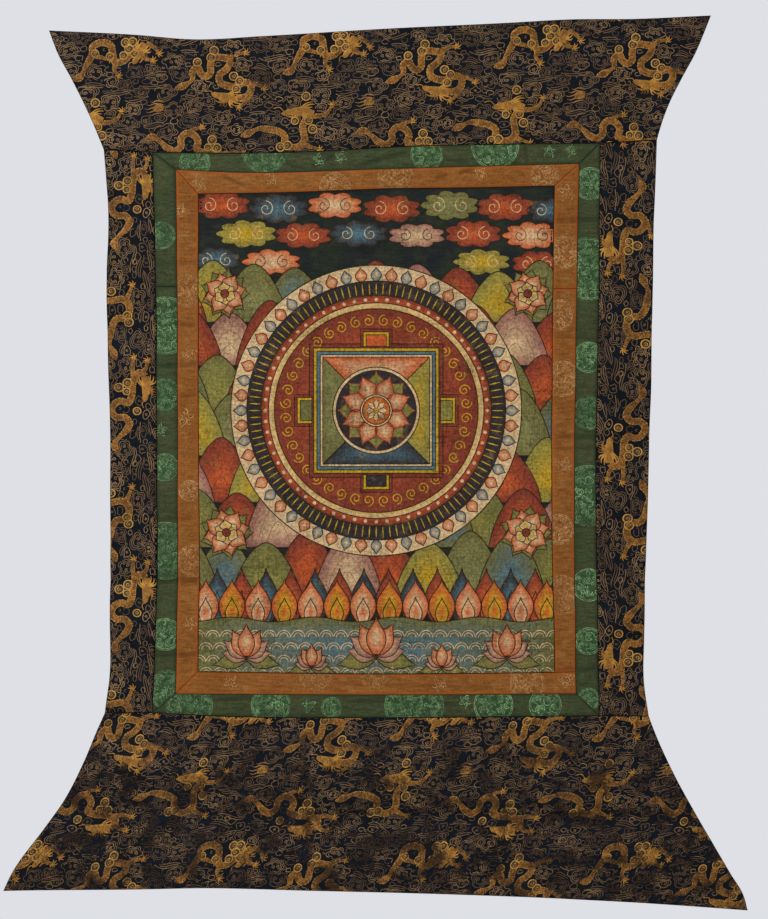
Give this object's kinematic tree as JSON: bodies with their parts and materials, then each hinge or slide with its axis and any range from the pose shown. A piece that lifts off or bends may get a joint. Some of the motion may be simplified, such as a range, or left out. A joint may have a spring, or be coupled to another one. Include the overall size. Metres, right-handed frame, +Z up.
{
  "type": "thangka scroll painting",
  "caption": "Hanging cloth scroll: a painted canvas framed by damask silk strips and sewn into a flared mount of dark gold-patterned brocade, hung from its top edge.",
  "frame": {"origin": "middle of the top edge of the hanging cloth", "axes": "+Z up along the height of the hanging, +X to the viewer's right, -Y out of the painted front, +Y into the wall"},
  "size_m": [0.8924, 0.0271, 1.0754],
  "materials": {
    "painted_canvas": "matte distemper paint on cotton canvas, cracked and creased",
    "tan_damask": "tan silk damask with paler roundels",
    "green_damask": "olive green silk damask with emerald roundels",
    "brocade": "near-black navy silk brocade with worn gold dragons and cloud scrolls"
  },
  "bodies": {
    "root": {"painted_canvas": "painted_canvas", "tan_top": "tan_damask", "tan_bottom": "tan_damask", "tan_left": "tan_damask", "tan_right_upper": "tan_damask", "tan_right_lower": "tan_damask", "green_top": "green_damask", "green_bottom": "green_damask", "green_left_upper": "green_damask", "green_left_lower": "green_damask", "green_right": "green_damask", "brocade_top": "brocade", "brocade_bottom": "brocade", "brocade_left": "brocade", "brocade_right": "brocade"}
  },
  "joints": []
}
